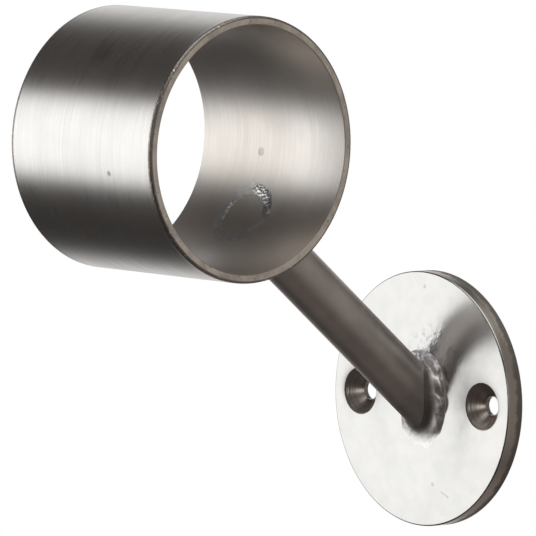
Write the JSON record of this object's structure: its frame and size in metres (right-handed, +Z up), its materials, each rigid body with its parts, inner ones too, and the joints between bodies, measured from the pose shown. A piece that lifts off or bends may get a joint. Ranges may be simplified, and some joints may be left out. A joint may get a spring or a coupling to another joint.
{
  "type": "handrail bracket",
  "caption": "Wall bracket for a round stair rail: a short tube collar on a slanted round bar, welded to a disc with two countersunk screw holes.",
  "frame": {"origin": "centre of the plate's back face, on the wall", "axes": "+Y into the wall, square to the plate; +X along the rail; +Z up"},
  "size_m": [0.06, 0.1131, 0.1233],
  "materials": {
    "collar_steel": "tube brushed round its girth, sawn ends",
    "bar_steel": "drawn round bar, satin",
    "plate_steel": "satin face with faint mottling, turned countersinks, punched rim",
    "weld_metal": "rippled weld with faint heat tint",
    "dressed_weld": "weld dressed nearly flush, rough in places"
  },
  "bodies": {
    "root": {"rail_collar": "collar_steel", "support_arm": "bar_steel", "wall_plate": "plate_steel", "plate_weld": "weld_metal", "collar_weld": "dressed_weld"}
  },
  "joints": []
}
